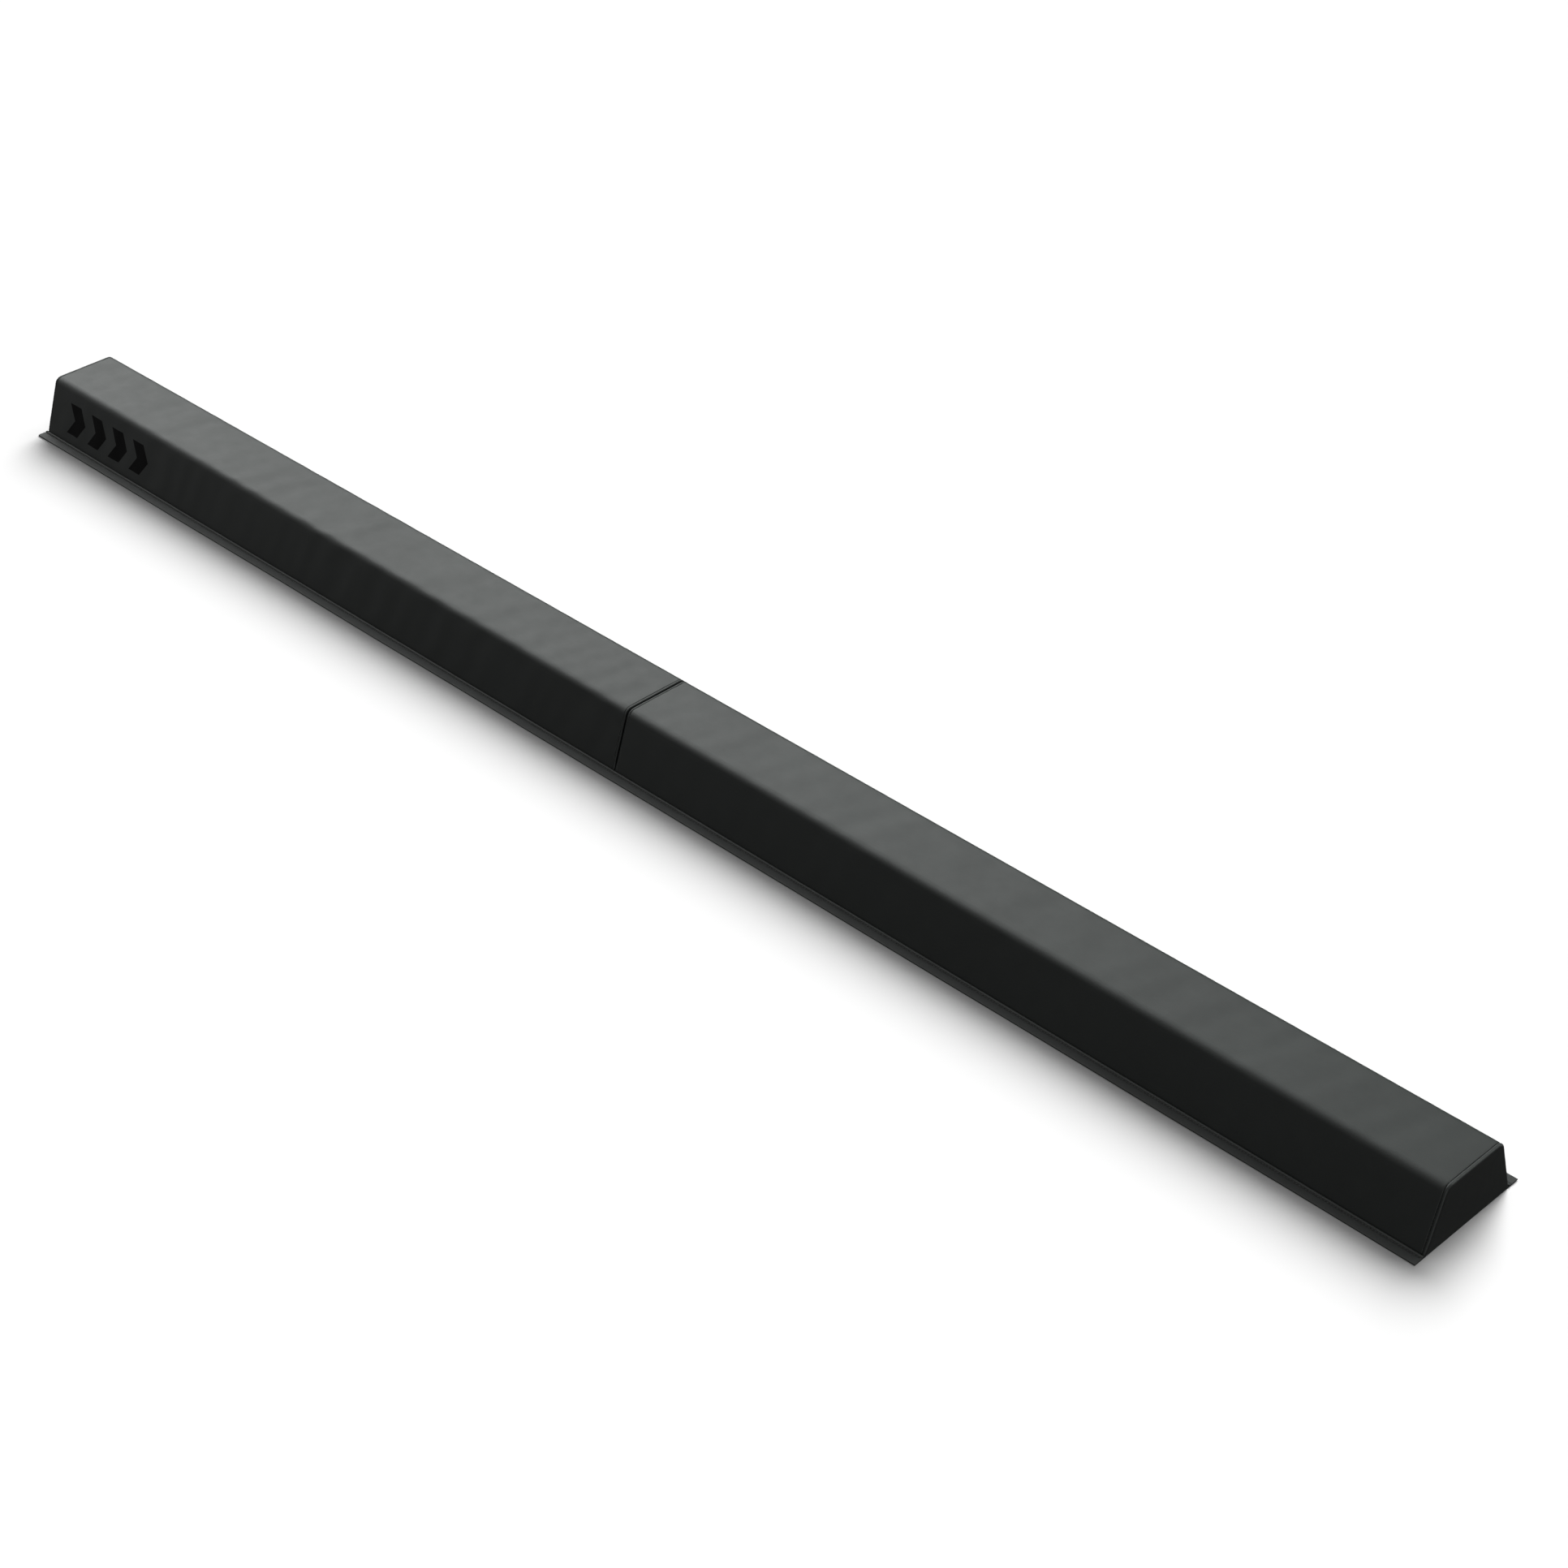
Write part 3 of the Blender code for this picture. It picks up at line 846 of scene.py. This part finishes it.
def make_stage():
    scene = bpy.context.scene
    scene.view_settings.view_transform = "Standard"
    scene.view_settings.look = "None"
    world = bpy.data.worlds.new("studio")
    scene.world = world
    world.use_nodes = True
    tree = world.node_tree
    tree.nodes.clear()
    link = tree.links.new
    out = tree.nodes.new("ShaderNodeOutputWorld")
    seen = node(tree, "ShaderNodeBackground", Color=(1, 1, 1, 1), Strength=1.0)
    lit = node(tree, "ShaderNodeBackground", Strength=1.3)
    where = tree.nodes.new("ShaderNodeTexCoord")
    split = tree.nodes.new("ShaderNodeSeparateXYZ")
    link(where.outputs["Generated"], split.inputs["Vector"])
    sky = tree.nodes.new("ShaderNodeValToRGB")
    sky.color_ramp.elements[0].position = 0.32
    sky.color_ramp.elements[0].color = (0.045, 0.045, 0.045, 1)
    sky.color_ramp.elements[1].position = 1.0
    sky.color_ramp.elements[1].color = (0.36, 0.36, 0.36, 1)
    mid = sky.color_ramp.elements.new(0.48)
    mid.color = (0.135, 0.135, 0.135, 1)
    height = node(tree, "ShaderNodeMapRange")
    height.inputs["From Min"].default_value = -1.0
    height.inputs["From Max"].default_value = 1.0
    link(split.outputs["Z"], height.inputs["Value"])
    link(height.outputs["Result"], sky.inputs["Fac"])
    link(sky.outputs["Color"], lit.inputs["Color"])
    path = tree.nodes.new("ShaderNodeLightPath")
    mix = tree.nodes.new("ShaderNodeMixShader")
    link(path.outputs["Is Camera Ray"], mix.inputs["Fac"])
    link(lit.outputs["Background"], mix.inputs[1])
    link(seen.outputs["Background"], mix.inputs[2])
    link(mix.outputs["Shader"], out.inputs["Surface"])

    # The floor: white, seen only by the camera, so that it neither lights nor darkens the beam.
    mesh = bpy.data.meshes.new("floor")
    reach = 40.0
    mesh.from_pydata(
        [(-reach, -reach, 0), (reach, -reach, 0), (reach, reach, 0), (-reach, reach, 0)],
        [],
        [(0, 1, 2, 3)],
    )
    floor = bpy.data.objects.new("floor", mesh)
    scene.collection.objects.link(floor)
    material, ftree, shader = fresh("floor_white")
    shader.inputs["Base Color"].default_value = (0.49, 0.49, 0.49, 1)
    shader.inputs["Roughness"].default_value = 1.0
    shader.inputs["Specular IOR Level"].default_value = 0.0
    geometry = ftree.nodes.new("ShaderNodeNewGeometry")
    clear = ftree.nodes.new("ShaderNodeBsdfTransparent")
    both = ftree.nodes.new("ShaderNodeMixShader")
    ftree.links.new(geometry.outputs["Backfacing"], both.inputs["Fac"])
    ftree.links.new(shader.outputs["BSDF"], both.inputs[1])
    ftree.links.new(clear.outputs["BSDF"], both.inputs[2])
    ftree.links.new(both.outputs["Shader"], ftree.nodes["Material Output"].inputs["Surface"])
    mesh.materials.append(material)
    floor.visible_diffuse = False
    floor.visible_glossy = False
    floor.visible_shadow = False
    floor.visible_transmission = False
    floor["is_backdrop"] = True
    # Folded, the right half lies upside down under the left one, so the floor is then lower:
    # it follows the height of the right half's top, and never stands above the underside.
    floor.location = (0, 0, -0.0004)
    follow = bpy.data.objects.new("right_half_top", None)
    follow.location = (X_HIGH + 0.0012, 0.0, HEIGHT + 0.0014)
    scene.collection.objects.link(follow)
    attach(follow, "right_half")
    copy = floor.constraints.new("COPY_LOCATION")
    copy.target = follow
    copy.use_x = copy.use_y = False
    copy.use_z = True
    stop = floor.constraints.new("LIMIT_LOCATION")
    stop.use_max_z = True
    stop.max_z = -0.0004
    stop.owner_space = "WORLD"

    # Two broad far-off lights behind the beam, for the soft shadow in front of it.
    for name, toward, angle, energy in (
        ("key", (-0.46, 1.12, 1.0), 35, 7.5),
        ("second", (0.21, 1.0, 0.94), 30, 1.05),
    ):
        broad = bpy.data.lights.new(name, "SUN")
        broad.angle = math.radians(angle)
        broad.energy = energy
        sun = bpy.data.objects.new(name, broad)
        sun.rotation_mode = "QUATERNION"
        sun.rotation_quaternion = Vector(toward).to_track_quat("Z", "Y")
        sun.visible_glossy = False
        scene.collection.objects.link(sun)
    for name, azimuth, elevation, distance, width, height_, power in CARDS:
        a, e = math.radians(azimuth), math.radians(elevation)
        place = (
            distance * math.cos(e) * math.cos(a),
            distance * math.cos(e) * math.sin(a),
            distance * math.sin(e),
        )
        card = area_light(name, place, (0, 0, 0), width, height_, power)
        card.visible_diffuse = False


# ---------------------------------------------------------------- build
make_camera()

left_relief = cloth_relief(11, X_LOW + SEAM_IN, -HINGE_GAP - SEAM_IN, 0.002, 0.0, 0.5, 0.80)
right_relief = cloth_relief(57, HINGE_GAP + SEAM_IN, X_HIGH - SEAM_IN, 0.002, 0.0, 0.5, 0.26)
left_relief = with_streaks(left_relief, 140, X_LOW + SEAM_IN, -HINGE_GAP - SEAM_IN, 0.00022)
right_relief = with_streaks(right_relief, 240, HINGE_GAP + SEAM_IN, X_HIGH - SEAM_IN, 0.00010)

HALVES = {
    "left": (X_LOW, -HINGE_GAP, left_relief, 100),
    "right": (HINGE_GAP, X_HIGH, right_relief, 200),
}
for suffix, (low, high, relief, seed) in HALVES.items():
    body = suffix + "_half"
    outer_x, hinge_x = (low, high) if suffix == "left" else (high, low)
    skin = wrap("wrap_" + suffix, low + SEAM_IN, high - SEAM_IN, relief, seed)
    piece = wear(skin, COVER_MATERIAL)
    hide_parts("cover_wrap_" + suffix)
    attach(piece, body)
    for end, x in (("outer", outer_x), ("hinge", hinge_x)):
        inwards = 1 if x == low else -1
        shape = (END_RADIUS, OUTER_DIP) if end == "outer" else (HINGE_RADIUS, HINGE_DIP)
        cap = end_cap(f"end_cap_{end}_{suffix}", x, inwards, seed + 20, *shape)
        wear(cap, COVER_MATERIAL)
        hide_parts(f"end_panel_{end}_{suffix}")
        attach(cap, body)
        rows = wear(
            seam_stitches(f"seam_stitches_{end}_{suffix}", x + inwards * SEAM_IN, seed + 30),
            THREAD,
        )
        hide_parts(f"seam_thread_{end}_{suffix}")
        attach(rows, body)
    for name, material, slot in (
        ("foam_core_" + suffix, CORE_FOAM, "core_foam"),
        ("foam_top_layer_" + suffix, SOFT_FOAM, "soft_foam"),
    ):
        wear(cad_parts[name], material)

sheet = wear(base_sheet("base_sheet"), SHEET_MATERIAL)
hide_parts("base_sheet_left", "base_sheet_right")
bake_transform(sheet)
with_sheet = []
for side, word in ((-1, "near"), (1, "far")):
    strip = wear(hem_strip("hem_" + word, side), SHEET_MATERIAL)
    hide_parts(f"hem_strip_{word}_left", f"hem_strip_{word}_right")
    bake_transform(strip)
    row = wear(hem_stitches("hem_stitches_" + word, side, 300 + side), THREAD)
    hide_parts(f"hem_stitch_{word}_left", f"hem_stitch_{word}_right")
    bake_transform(row)

mark = wear(printed_mark("printed_mark", left_relief), INK)
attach(mark, "left_half")

make_stage()

low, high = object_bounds()
